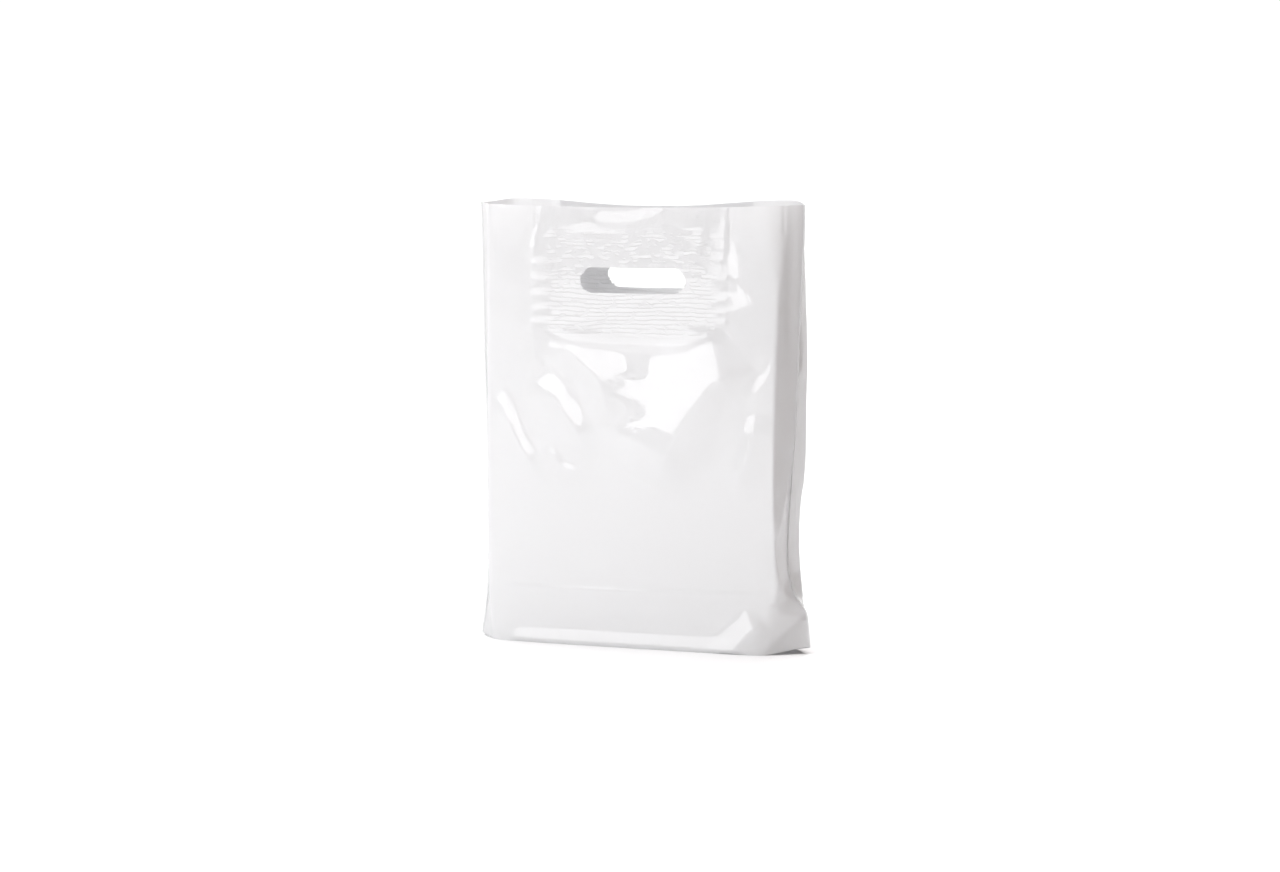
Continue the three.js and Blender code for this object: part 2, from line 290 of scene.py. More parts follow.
def gusset_point(s, w, wall):
    """Points of the half of the gusset that belongs to `wall`, w from its bottom fold."""
    end = np.where(s > 0, 1.0, -1.0)
    s = s * blend(1, 1 - (WELD_WIDTH + WELD_CLEARANCE) / HALF_FLAT, step(w, 0, GAP_RAMP))
    out = np.abs(s)
    fold = fold_at(s, np.zeros_like(s), wall)
    # Flat on the floor.
    x, depth = section_at(s, np.zeros_like(s), wall)
    floor = np.stack([film_middle + x, wall * depth * (1 - w / GUSSET), np.full_like(s, FILM / 2)], -1)
    # Against the wall.
    ear = wall_point(s, w, wall, -EAR_GAP * step(w, 0, GAP_RAMP))
    # The slope: from the apex on the floor to the folded edge of the ear.
    left_over = 1 - w / GUSSET
    q = (out - APEX - left_over * (fold - APEX)) / np.maximum(
        out - APEX + left_over * (HALF_FLAT - fold), 1e-6)
    q = np.clip(q, 0, 1)
    m = np.clip((out - APEX) / (fold - APEX + q * (HALF_FLAT - fold)), 0, 1)[:, None]
    apex = np.stack([film_middle + end * APEX, 0 * s, np.full_like(s, FILM / 2)], -1)
    edge_s = end * (fold + q * (HALF_FLAT - fold))
    edge = wall_point(edge_s, GUSSET * q, wall, -EAR_GAP * step(GUSSET * q, 0, GAP_RAMP))
    slope = apex * (1 - m) + edge * m
    on_ear = (w < GUSSET * (out - fold) / (HALF_FLAT - fold)) & (out > fold)
    on_slope = w > GUSSET * (fold - out) / (fold - APEX)
    place = np.where(on_ear[:, None], ear, np.where(on_slope[:, None], slope, floor))
    place[:, 1] = wall * np.maximum(wall * place[:, 1], 0)  # neither half crosses to the other's side
    return place


tip = gusset_point(np.array([HALF_FLAT]), np.array([GUSSET]), -1)[0]
print("the gusset's fold meets the right weld", round(float(tip[2])), "mm over the floor")


# %% [markdown]
# ## Creases
#
# Slack film doesn't wrinkle like cloth. It stays in flat facets that meet at ridges, and each facet
# mirrors one bright or one dark thing, which is why a glossy bag looks crisp. So a crease here is a ridge
# along a path: it rises over a wide, gentle facet on one side, falls over a short one on the other, and
# fades out at both ends. The path is given in flat millimetres on the wall.

# %% A crease
TOE = 0.12  # how softly a crease's feet run out, as a share of its rise


def soft_max(a, b, k):
    """The larger of a and b, with the corner between them rounded over about k."""
    return (a + b + np.sqrt((a - b) ** 2 + k * k)) / 2


def crease(s, z, path, rise, near, far, fade=0.3, crisp=0.06):
    """Height of a ridge. near and far are the facets' widths, left and right of the path's direction."""
    line = smooth_path(path)
    best = np.full(s.shape, 1e9)
    signed, travel = np.zeros(s.shape), np.zeros(s.shape)
    for i, (a, b) in enumerate(zip(line, line[1:])):
        d = b - a
        f = np.clip(((s - a[0]) * d[0] + (z - a[1]) * d[1]) / (d @ d), 0, 1)
        ox, oz = s - a[0] - f * d[0], z - a[1] - f * d[1]
        distance = np.hypot(ox, oz)
        closer = distance < best
        best = np.where(closer, distance, best)
        side = np.sign(d[0] * oz - d[1] * ox)
        signed = np.where(closer, side * distance, signed)
        travel = np.where(closer, (i + f) / (len(line) - 1), travel)
    height = -soft_max(-(1 - signed / near), -(1 + signed / far), crisp)
    height = soft_max(height, 0, TOE) - TOE * TOE / 4
    ends = step(travel, 0, fade) * (1 - step(travel, 1 - fade, 1))
    return rise * ends * np.clip(height, 0, None)


def soft_waves(s, z, length, seed, count=9):
    """Slow, irregular buckling: a few plane waves with seeded directions, about 1 high."""
    rng = np.random.default_rng(seed)
    out = np.zeros(s.shape)
    for angle, stretch, phase in rng.random((count, 3)):
        k = 2 * math.pi / (length * (0.6 + stretch))
        a = math.pi * angle
        out += np.sin(k * (s * math.cos(a) + z * math.sin(a)) + 2 * math.pi * phase)
    return out / math.sqrt(count)


# %% [markdown]
# ## The relief of the walls
#
# The front wall is stiff where the patch backs it, and slack below. The load of the stiff square is
# shed into two ridges that start at the patch's lower corners and lean together in a V. Small ridges
# run down on both sides of it. Across the bottom lies the crease from when the bag was packed flat, and
# just over the floor the film turns out in a band to meet the gusset's fold.
#
# Each row is one crease: its path, then its rise and the widths of its facets, in millimetres. A negative
# rise is a valley.

# %% The creases of the front wall
FRONT_CREASES = [
    # The V under the patch.
    dict(path=[(28, 164), (46, 198), (62, 224), (79, 248), (100, 273), (131, 299)], rise=7.4, near=70,
         far=38, fade=0.2),
    dict(path=[(-78, 322), (-55, 297), (-33, 277), (-23, 253), (-17, 228)], rise=3.9, near=38, far=28,
         fade=0.25),
    dict(path=[(88, 232), (122, 268), (162, 290)], rise=-0.9, near=16, far=14, fade=0.35),
    # Small ridges beside it.
    dict(path=[(-142, 262), (-134, 234), (-121, 207), (-110, 190), (-95, 163)], rise=2.0, near=12, far=26),
    dict(path=[(-88, 280), (-75, 248), (-58, 226), (-42, 192)], rise=2.5, near=19, far=30),
    dict(path=[(-86, 204), (-72, 184), (-50, 176)], rise=1.2, near=9, far=18),
    dict(path=[(118, 164), (132, 203), (140, 244)], rise=2.2, near=12, far=22),
    dict(path=[(136, 254), (147, 274), (159, 292)], rise=0.7, near=8, far=14),
    # The patch's lower edge, and the fold at the left of the rim.
    dict(path=[(-95, 331), (-78, 317), (-38, 312), (17, 309), (64, 311), (103, 329)], rise=0.9, near=15,
         far=5, fade=0.12),
    dict(path=[(-155, 452), (-149, 420), (-150, 393), (-154, 355), (-157, 310)], rise=-1.0, near=6, far=9),
    # The packing crease, and the band over the floor.
    dict(path=[(-170, 57), (-72, 58), (10, 58), (97, 60), (170, 61)], rise=0.55, near=4.5, far=34, fade=0.2),
    dict(path=[(-142, 3), (-60, 3.5), (20, 3.5), (126, 3)], rise=2.7, near=13, far=3.5, fade=0.12),
    dict(path=[(106, -12), (119, 3), (132, 17), (150, 35)], rise=4.6, near=25, far=14, fade=0.2),
    # A shallow shelf in the middle of the rim.
    dict(path=[(-74, 421), (-46, 424), (-18, 423), (6, 426)], rise=0.9, near=9, far=7, fade=0.3),
    dict(path=[(-44, 436), (-12, 433), (22, 438), (40, 448)], rise=0.9, near=12, far=6, fade=0.3),
    # The right flank, where the gusset pinches it.
    dict(path=[(161, 114), (178, 150), (193, 196)], rise=2.6, near=9, far=15, fade=0.2),
    dict(path=[(160, 78), (174, 62), (191, 50)], rise=2.0, near=9, far=9, fade=0.2),
    dict(path=[(176, 490), (177, 410), (181, 340), (188, 270)], rise=-2.2, near=16, far=12, fade=0.3),
    dict(path=[(167.5, 418), (167, 436), (166, 470)], rise=-0.9, near=4, far=4, fade=0.3),
    dict(path=[(-194, 60), (-176, 72), (-158, 92)], rise=0.9, near=12, far=10, fade=0.2),
]
print("the front wall has", len(FRONT_CREASES), "creases")

# %% [markdown]
# Heat-sealing shrinks the patch a little. The film beside it is drawn in, so short puckers fan in from
# the patch's sides, and upright ridges run from its sides to the rim. The sealed zone itself is faintly
# wavy, and stiff enough to lean back as one panel under the slot and forward again over it.

# %% The relief round the patch
PATCH_LEFT, PATCH_RIGHT = PATCH["x"] - PATCH["width"] / 2, PATCH["x"] + PATCH["width"] / 2
LEFT_PUCKERS = [392, 375, 358, 342, 329]  # heights of the puckers on the left side
RIGHT_PUCKERS = [378, 356, 343, 332]
UPRIGHTS = [
    dict(at=-97, low=396, rise=0.8, near=8, far=5),
    dict(at=-82, low=404, rise=0.8, near=9, far=5),
    dict(at=84, low=402, rise=1.0, near=12, far=6),
    dict(at=106, low=366, rise=0.7, near=8, far=5),
]
LEAN_BACK, LEAN_FORWARD = 0.024, 0.012  # slopes of the sealed zone under and over LEAN_TURN
LEAN_TURN = 65  # from the patch's lower edge to where the slope turns
LEAN_SIDE = 28  # width over which the lean fades out at the patch's sides
WAVE, WAVE_STRETCH = 7.5, 0.22  # length of the sealed zone's waves, and how far they run across it
WAVES_TOP = 430  # height over which the sealed zone is smooth


def puckers(s, z, edge, heights, reach, rise):
    """Short ridges at the given heights, that fan in from a patch's side edge."""
    fan = sum(heights) / len(heights)
    inwards = -math.copysign(1, edge)
    out = 0
    for i, height in enumerate(heights):
        lean = (height - fan) * -0.12
        path = [(edge - inwards * 3, height), (edge + inwards * reach / 2, height + lean / 2),
                (edge + inwards * reach, height + lean)]
        if inwards < 0:
            path.reverse()
        out = out + crease(s, z, path, rise * (1 - 0.15 * (i % 3)), 6.5, 5, 0.3)
    return out


def uprights(s, z):
    """The upright ridges where the patch's sides meet the rim. They lean a little to the right."""
    out = 0
    for row in UPRIGHTS:
        path = [(row["at"] - 9, row["low"]), (row["at"], 430), (row["at"] + 8, 480)]
        out = out + crease(s, z, path, row["rise"], row["near"], row["far"], 0.2)
    return out


def in_patch(s, z, soft=8.0):
    """1 well inside the patch's outline, 0 outside it."""
    half = PATCH["width"] / 2
    edge = step(half - np.abs(s - PATCH["x"]), 0, soft)
    return edge * step(z, PATCH["bottom"], PATCH["bottom"] + soft)


def sealed_waves(s, z, rise, seed):
    """The faint waviness of the sealed zone."""
    waves = soft_waves(WAVE_STRETCH * s, z, WAVE, seed=seed)
    return rise * in_patch(s, z) * waves * step(WAVES_TOP - z, 0, 25)


def front_relief(s, z):
    out = sum(crease(s, z, **c) for c in FRONT_CREASES)
    out = out + puckers(s, z, PATCH_LEFT, LEFT_PUCKERS, reach=22, rise=1.3)
    out = out + puckers(s, z, PATCH_RIGHT, RIGHT_PUCKERS, reach=16, rise=1.0)
    out = out + uprights(s, z) + sealed_waves(s, z, 0.05, seed=5)
    up = z - PATCH["bottom"]
    lean = LEAN_BACK * np.clip(up, 0, LEAN_TURN) - LEAN_FORWARD * np.clip(up - LEAN_TURN, 0, 80)
    out = out - lean * in_patch(s, z, LEAN_SIDE)
    return out + 0.12 * soft_waves(s, z, 150, seed=11) + 0.05 * soft_waves(s, z, 45, seed=3)


# %% [markdown]
# The back wall isn't the front's twin. It was handled less, so it has fewer ridges, and they fall where
# its own slack lies. Its puckers sit the other way round. On both walls the relief fades out at the welds
# and at the bottom fold, where the film is held.

# %% The creases of the back wall, and the relief of both
BACK_CREASES = [
    dict(path=[(-58, 190), (-74, 238), (-104, 300)], rise=2.2, near=26, far=40, fade=0.25),
    dict(path=[(76, 310), (52, 270), (38, 220)], rise=1.6, near=24, far=30, fade=0.25),
    dict(path=[(120, 260), (104, 220), (98, 170)], rise=0.9, near=22, far=12),
    dict(path=[(-130, 150), (-122, 190), (-128, 236)], rise=0.7, near=12, far=20),
    dict(path=[(-95, 331), (-78, 317), (-20, 311), (60, 312), (103, 330)], rise=0.8, near=14, far=5,
         fade=0.12),
    dict(path=[(-170, 60), (-40, 58), (60, 58), (170, 57)], rise=0.4, near=4, far=34, fade=0.2),
    dict(path=[(-118, 4), (0, 4.5), (118, 4)], rise=1.0, near=12, far=4.5, fade=0.12),
    dict(path=[(161, 104), (176, 140), (193, 180)], rise=1.0, near=14, far=10, fade=0.2),
]


def back_relief(s, z):
    out = sum(crease(s, z, **c) for c in BACK_CREASES)
    out = out + puckers(s, z, PATCH_LEFT, RIGHT_PUCKERS, reach=18, rise=0.55)
    out = out + puckers(s, z, PATCH_RIGHT, LEFT_PUCKERS, reach=20, rise=0.65)
    out = out + sealed_waves(s, z, 0.07, seed=8)
    return out + 0.5 * soft_waves(s, z, 140, seed=21) + 0.12 * soft_waves(s, z, 45, seed=4)


def relief(s, z, wall):
    """How far a wall's film stands out from its plain section, in millimetres."""
    held = step(HALF_FLAT - np.abs(s), WELD_WIDTH, 14) * step(z, 0, 4)
    return held * (front_relief(s, z) if wall < 0 else back_relief(s, z))


trial_s, trial_z = (g.ravel() for g in np.meshgrid(np.linspace(-190, 190, 96), np.linspace(5, 445, 111)))
for wall, wall_name in ((-1, "front"), (1, "back")):
    heights = relief(trial_s, trial_z, wall)
    print("the", wall_name, "wall's relief runs from", round(float(heights.min()), 1), "to",
          round(float(heights.max()), 1), "mm")


# %% [markdown]
# ## Laying the film up
#
# The sheet starts as Blender's own grid, one operator, with the film's flat lengths kept in a UV map for
# the materials. Its lines are closer together where the film is busier: round the slot, over the patch
# and next to the floor.

# %% The grid's lines
def lines(*stretches):
    """Positions along an edge: (from, to, pitch) stretches, one after another."""
    out = []
    for start, stop, pitch in stretches:
        count = max(1, round(abs(stop - start) / pitch))
        out += list(np.linspace(start, stop, count, endpoint=False))
    return np.array(out + [stretches[-1][1]])


rib = HALF_FLAT - WELD_WIDTH
ACROSS = lines(
    (-HALF_FLAT, -rib, 0.4), (-rib, -172, 3.5), (-172, -150, 1.8), (-150, -58, 3.2), (-58, -36, 1.7),
    (-36, 46, 3.1), (46, 68, 1.7), (68, 150, 3.2), (150, 172, 1.8), (172, rib, 3.5), (rib, HALF_FLAT, 0.4))
FRONT_LINES = lines(
    (450, 310, 2.0), (310, 160, 2.6), (160, 66, 4.7), (66, 50, 1.6), (50, 20, 3.75), (20, 0, 1.4))
BACK_LINES = lines((450, 310, 2.8), (310, 66, 5.5), (66, 50, 2), (50, 20, 5), (20, 0, 1.7))
GUSSET_LINES = lines((0, GUSSET, 4.0))
ALONG = np.concatenate([
    WALL_HEIGHT - FRONT_LINES,
    WALL_HEIGHT + GUSSET_LINES[1:],
    WALL_HEIGHT + 2 * GUSSET - GUSSET_LINES[-2::-1],
    WALL_HEIGHT + 2 * GUSSET + BACK_LINES[-2::-1],
])
print("the film's grid is", len(ACROSS), "x", len(ALONG), "lines")


# %% [markdown]
# Then every point moves from the flat sheet to its place on the standing bag. `along` says which it is:
# a point of the front wall, of the gusset or of the back wall. Height on a wall and `along` are two names
# for the same thing, so a pair of small functions turns one into the other.

# %% From the flat film to the standing bag
BOTTOM_FOLDS = WALL_HEIGHT, WALL_HEIGHT + 2 * GUSSET  # along the film, the front's and the back's


def height_on(along, wall):
    return WALL_HEIGHT - along if wall < 0 else along - BOTTOM_FOLDS[1]


def along_at(z, wall):
    return WALL_HEIGHT - z if wall < 0 else z + BOTTOM_FOLDS[1]


def standing(across, along, lift=0.0):
    """Where points of the flat film stand. lift moves them out of the film, in millimetres."""
    s, t = across, along
    bottom, top = BOTTOM_FOLDS
    front = wall_point(s, bottom - np.minimum(t, bottom), -1, lift + relief(s, height_on(t, -1), -1))
    back = wall_point(s, np.maximum(t, top) - top, 1, lift + relief(s, height_on(t, 1), 1))
    w = np.clip(np.where(t < bottom + GUSSET, t - bottom, top - t), 0, GUSSET)
    under = np.where((t < bottom + GUSSET)[:, None], gusset_point(s, w, -1), gusset_point(s, w, 1))
    out = np.where((t <= bottom)[:, None], front, np.where((t >= top)[:, None], back, under))
    return out * MM


rim_middle = standing(np.array([SLOT["x"]]), np.array([0.0]))[0]
print("over the slot the front rim stands", round(float(rim_middle[2] / MM)), "mm high")


# %% [markdown]
# ## The slot
#
# The punch cuts both walls at once. On the grid that is a row of points moved onto the slot's outline,
# and the faces inside it taken away, which leaves a clean cut edge without the slivers of a boolean.

# %% The slot's outline
def slot_distance(s, z, wall):
    """Distance to the slot's outline, below 0 inside, and the nearest point on the outline."""
    centre = SLOT["front_z"] if wall < 0 else SLOT["back_z"]
    scale = RIM["front" if wall < 0 else "back"] / WALL_HEIGHT
    r = SLOT["height"] / 2
    u, v = s - SLOT["x"], z * scale - centre
    nearest = np.clip(u, r - SLOT["width"] / 2, SLOT["width"] / 2 - r)
    size = np.maximum(np.hypot(u - nearest, v), 1e-6)
    on_s = SLOT["x"] + nearest + (u - nearest) * r / size
    on_z = (centre + v * r / size) / scale
    return size - r, on_s, on_z


def snap_to_slot(across, along, wall):
    """Moves the grid points next to the outline onto it, and says which points are cut away."""
    z = height_on(along, wall)
    distance, on_s, on_z = slot_distance(across, z, wall)
    distance = np.where(z >= 0, distance, 1e6)
    nearer = np.zeros(distance.shape, bool)
    for axis in (0, 1):
        for way in (-1, 1):
            beside = np.roll(distance, way, axis)
            crossing = (distance < 0) != (beside < 0)
            nearer |= crossing & (np.abs(distance) <= np.abs(beside))
    across = np.where(nearer, on_s, across)
    along = np.where(nearer, along_at(on_z, wall), along)
    return across, along, nearer | (distance < 0)


flat_grid = np.meshgrid(ACROSS, ALONG, indexing="ij")
print("the front slot takes away", int(snap_to_slot(*flat_grid, -1)[2].sum()), "points of the grid")

# %% [markdown]
# ## The film of the bag
#
# Now the sheet is made. The grid operator gives the flat net. After its points are laid up, the two side
# edges of the walls meet at the welds, and merging them is the weld itself. The gusset's own edges meet
# inside it. Last the film gets its thickness inwards, so that its outer face stays where it was laid.

# %% Lay a grid up, and turn it outwards
def laid_grid(bm, across, along, place):
    """A grid of the given flat lines, its points moved to `place`, with the flat lengths as UVs."""
    columns, rows = across.shape
    bmesh.ops.create_grid(bm, x_segments=columns - 1, y_segments=rows - 1, size=1.0)
    bm.verts.ensure_lookup_table()
    at = {}  # each point's column and row
    for v in bm.verts:
        at[v] = round((v.co.x + 1) / 2 * (columns - 1)), round((v.co.y + 1) / 2 * (rows - 1))
    uv = bm.loops.layers.uv.new("flat")
    for face in bm.faces:
        for loop in face.loops:
            here = at[loop.vert]
            loop[uv].uv = (across[here] * MM, along[here] * MM)
    for v, here in at.items():
        v.co = Vector(place[here])
    return at


def face_outwards(bm, wall):
    """Turns all faces over if those of the given wall look inwards."""
    sense = sum(f.normal.y * f.calc_area() for f in bm.faces if f.calc_center_median().y * wall > 0.02)
    if sense * wall < 0:
        bmesh.ops.reverse_faces(bm, faces=bm.faces)


# %% [markdown]
# Film is all outside: what shows is its glossy faces and, at the rim and round the slot, its cut edge.
# Solidify gives it the thickness of the real film, so the inside of the bag is a face of its own.

# %% Thickness, and the finished piece
FAR_OFF = 1.5  # thicknesses an inner face may stand from its outer one
SHARP = math.radians(60)  # edges sharper than this are shaded as cut


def give_thickness(bm, thickness):
    """Thickens the film inwards, and keeps its cut edges crisp."""
    bm.normal_update()
    mark = bm.verts.layers.int.new("mark")
    laid = [v.co.copy() for v in bm.verts]
    for i, v in enumerate(bm.verts):
        v[mark] = i
    bmesh.ops.solidify(bm, geom=bm.faces[:], thickness=thickness)
    # In a closed fold the inner face would shoot far out, so it stays near its outer one.
    for v in bm.verts:
        offset = v.co - laid[v[mark]]
        if offset.length > FAR_OFF * thickness:
            v.co = laid[v[mark]] + offset.normalized() * FAR_OFF * thickness
    bm.verts.layers.int.remove(mark)
    bm.normal_update()
    for e in bm.edges:
        e.smooth = len(e.link_faces) == 2 and e.calc_face_angle(0) < SHARP
    for f in bm.faces:
        f.smooth = True


def finished(bm, name, node):
    """A piece from a bmesh: at the origin, riding on the body, standing for its CAD node."""
    mesh = bpy.data.meshes.new(name)
    bm.to_mesh(mesh)
    bm.free()
    piece = bpy.data.objects.new(name, mesh)
    bpy.context.collection.objects.link(piece)
    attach(piece, "root")
    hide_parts(node)
    mesh.calc_loop_triangles()
    print(name, "has", len(mesh.loop_triangles), "triangles")
    return piece


# %% [markdown]
# The walls' side edges and the gusset's are merged apart from each other. On the real bag the seal runs
# through all four layers, but the gusset's two ends stay folded inside the weld, so they keep their own
# edge here too.

# %% Make the film
WELD_REACH = 0.02 * MM  # how near two edge points must be to be welded


def cut_faces(bm, at, cut):
    """The faces of a laid grid whose points are all cut away."""
    return [f for f in bm.faces if all(cut[at[v]] for v in f.verts)]


def make_film():
    across, along, cut_front = snap_to_slot(*flat_grid, -1)
    across, along, cut_back = snap_to_slot(across, along, 1)
    place = standing(across.ravel(), along.ravel()).reshape(*across.shape, 3)
    bm = bmesh.new()
    at = laid_grid(bm, across, along, place)
    gone = cut_faces(bm, at, cut_front | cut_back)
    sides = [v for v in bm.verts if at[v][0] in (0, len(ACROSS) - 1)]
    of_gusset = [v for v in sides if BOTTOM_FOLDS[0] < along[at[v]] < BOTTOM_FOLDS[1]]
    of_walls = [v for v in sides if not BOTTOM_FOLDS[0] < along[at[v]] < BOTTOM_FOLDS[1]]
    for edge_points in (of_walls, of_gusset):
        bmesh.ops.remove_doubles(bm, verts=edge_points, dist=WELD_REACH)
    bmesh.ops.delete(bm, geom=gone, context="FACES")
    face_outwards(bm, -1)
    loose = sum(1 for e in bm.edges if e.is_boundary)
    print("the film has", len(bm.faces), "faces and", loose, "open edges, at the rim and round the slots")
    give_thickness(bm, FILM * MM)
    return finished(bm, "bag_film_sheet", "bag_film")


film_piece = make_film()

# %% [markdown]
# ## The patches
#
# Each patch is a rectangle of the same film, sealed to the inside of its wall before the bag is folded,
# with its lower corners rounded. It goes through the same punch, so the slot in it is the same cut. It
# follows the wall's relief a fraction of a millimetre behind it, on the wall's own grid lines, so that
# the two layers never pass through each other.

# %% Make the patches
PATCH_BEHIND = 0.22  # from the wall's outer face to the patch's
LINE_GAP = 1  # least distance between the patch's side and the next grid line
ROW_GAP = 0.7  # the same at its lower edge


def round_corners(s, z):
    """Moves grid points near the patch's two lower corners onto concentric quarter circles."""
    half, r = PATCH["width"] / 2, PATCH["corner"]
    centre_s = PATCH["x"] + np.sign(s - PATCH["x"]) * (half - r)
    u, v = s - centre_s, z - (PATCH["bottom"] + r)
    outwards = np.sign(s - PATCH["x"]) * u
    in_corner = (outwards > 0) & (v < 0)
    size = np.maximum(np.hypot(u, v), 1e-6)
    scale = np.where(in_corner, np.maximum(np.abs(u), np.abs(v)) / size, 1)
    return np.where(in_corner, centre_s + u * scale, s), np.where(
        in_corner, PATCH["bottom"] + r + v * scale, z)


def make_patch(node, wall):
    within = (ACROSS > PATCH_LEFT + LINE_GAP) & (ACROSS < PATCH_RIGHT - LINE_GAP)
    columns = np.array([PATCH_LEFT, *ACROSS[within], PATCH_RIGHT])
    wall_lines = FRONT_LINES if wall < 0 else BACK_LINES
    rows = np.array([PATCH["bottom"], *wall_lines[wall_lines > PATCH["bottom"] + ROW_GAP][::-1]])
    s, z = round_corners(*np.meshgrid(columns, rows, indexing="ij"))
    s, along, cut = snap_to_slot(s, along_at(z, wall), wall)
    place = standing(s.ravel(), along.ravel(), -PATCH_BEHIND).reshape(*s.shape, 3)
    bm = bmesh.new()
    at = laid_grid(bm, s, along, place)
    bmesh.ops.delete(bm, geom=cut_faces(bm, at, cut), context="FACES")
    face_outwards(bm, wall)
    give_thickness(bm, FILM * MM)
    return finished(bm, node + "_sheet", node)


front_patch = make_patch("front_patch", -1)
back_patch = make_patch("back_patch", 1)

# %% [markdown]
# ## Shader maths
#
# The finishes below are sums and products of masks and noises. One small class wraps a node's socket, so
# that they can be written as plain expressions. Any other node comes from its one method, `node`.

# %% A socket that can be added and multiplied
class Socket:
    def __init__(self, tree, socket=None):
        self.tree, self.socket = tree, socket

    def node(self, kind, settings=None, inputs=None, output=0):
        """A new node of the tree: its settings first, then its sockets' values or links."""
        made = self.tree.nodes.new("ShaderNode" + kind)
        for key, value in (settings or {}).items():
            if key == "stops":
                for i, (at, colour) in enumerate(value):
                    stop = made.color_ramp.elements[i] if i < 2 else made.color_ramp.elements.new(at)
                    stop.position, stop.color = at, colour
            else:
                setattr(made, key, value)
        for key, value in (inputs or {}).items():
            if isinstance(value, Socket):
                self.tree.links.new(value.socket, made.inputs[key])
            else:
                made.inputs[key].default_value = value
        return Socket(self.tree, made.outputs[output]) if len(made.outputs) else None

    def math(self, operation, *values):
        return self.node("Math", dict(operation=operation), dict(enumerate(values)))

    def __add__(self, other):
        return self.math("ADD", self, other)

    def __sub__(self, other):
        return self.math("SUBTRACT", self, other)

    def __rsub__(self, other):
        return self.math("SUBTRACT", other, self)

    def __mul__(self, other):
        return self.math("MULTIPLY", self, other)

    def ramp(self, low, high):
        """A smooth 0 to 1 as this value goes from low to high."""
        return self.node("MapRange", dict(interpolation_type="SMOOTHSTEP"), {0: self, 1: low, 2: high})

    __radd__, __rmul__ = __add__, __mul__


# %% [markdown]
# ## The film's finish
#
# White carrier film is low-density polythene filled with titanium white. It is glossy, but never a
# mirror: the blowing leaves a faint orange peel, and handling leaves hair-fine marks. All of it is placed
# by the flat lengths in the UV map, so it follows the film round every fold.

# %% Lengths, noise and masks on the film
def film_lengths(root):
    """At a shaded point: how far across the film it is, how far along, and its height on the wall."""
    flat = root.node("UVMap", dict(uv_map="flat"))
    across = root.node("SeparateXYZ", inputs={0: flat}, output=0) * 1000
    along = root.node("SeparateXYZ", inputs={0: flat}, output=1) * 1000
    return across, along, root.math("MAXIMUM", WALL_HEIGHT - along, along - BOTTOM_FOLDS[1])


def film_noise(root, across, along):
    """Gives a function for noise on the film: `scale` is in millimetres, and u and v squeeze it."""
    def noise(u, v, scale, detail=2.0, rough=0.5):
        at = root.node("CombineXYZ", inputs={0: across * (u / scale), 1: along * (v / scale)})
        return root.node("TexNoise", dict(noise_dimensions="2D"), {
            "Vector": at, "Scale": 1.0, "Detail": detail, "Roughness": rough, "Distortion": 0.0})
    return noise


def patch_masks(root, across, height):
    """1 where the patch lies, and 1 where its seal is rippled."""
    from_side = PATCH["width"] / 2 - root.math("ABSOLUTE", across - PATCH["x"])
    up = height - PATCH["bottom"]
    patch = from_side.ramp(0, 5) * up.ramp(0, 4)
    return patch, patch * from_side.ramp(6, 26) * up.ramp(3, 10) * (1 - (height - RIPPLES_TOP).ramp(0, 14))


# %% [markdown]
# Where the patch is sealed on, the heat has shrunk it into fine ripples that run across the wall. A ripple
# is a saw tooth up the wall: its long face leans back and catches the light, and its short face is the
# dark line. Two slow noises bend the lines, and a third breaks them up, more so over the slot. Ripples of
# a third of a millimetre are too fine for the mesh, so they are bump, like the peel and the marks.

# %% The film's fine relief
RIPPLE = 4.4  # from one ripple of the sealed patch to the next
RIPPLES_TOP = 418  # height where they begin to fade out
LONG_FACE = 0.74  # share of a ripple that leans back
PEEL, MARKS, BLOTCH = 0.0025, 0.0015, 0.09  # heights of the orange peel, the marks and the slow waves


def ripples(root, height, noise):
    """The ripples of the seal, 0 to 1 high."""
    phase = height * (1 / RIPPLE) + (noise(0.3, 0.7, 24) - 0.5) * 1.8 + (noise(1, 0.7, 8) - 0.5) * 0.45
    tooth = root.math("FRACT", phase)
    shape = root.math("MINIMUM", (1 - tooth) * (1 / LONG_FACE), tooth * (1 / (1 - LONG_FACE)))
    unbroken = (390 - height).ramp(0, 24) * 0.16
    return shape * (noise(0.6, 0.9, 6.0, detail=1.0) + unbroken).ramp(0.5, 0.56)


def fine_relief(noise, rippled):
    """Height of the fine relief in millimetres, with the ripples added to it."""
    peel, marks = noise(1, 1, 2.2, detail=1.0), noise(1, 0.12, 5.0, detail=4.0, rough=0.7)
    blotch = noise(1, 1, 16, detail=1.5)
    return rippled + (peel - 0.5) * PEEL + (marks - 0.5) * MARKS + (blotch - 0.5) * BLOTCH


# %% [markdown]
# The film's own colour is nearly even: a cloudy shade from the blowing, a shade whiter over the patch,
# because two layers hide more, and a few grey gel specks. Thin white film also passes light, which is why
# the inside of the bag isn't dark. So each face is half glossy white and half translucent white.

# %% The film's materials
THROUGH = 0.5  # share of the light that a face of the film lets through
FILM_WHITE = (0.925, 0.928, 0.934)
SPECK_GRID = 0.016  # cells per millimetre, each with one speck
TONES = 0.9, 1.1  # the darkest and the lightest film, from its own white


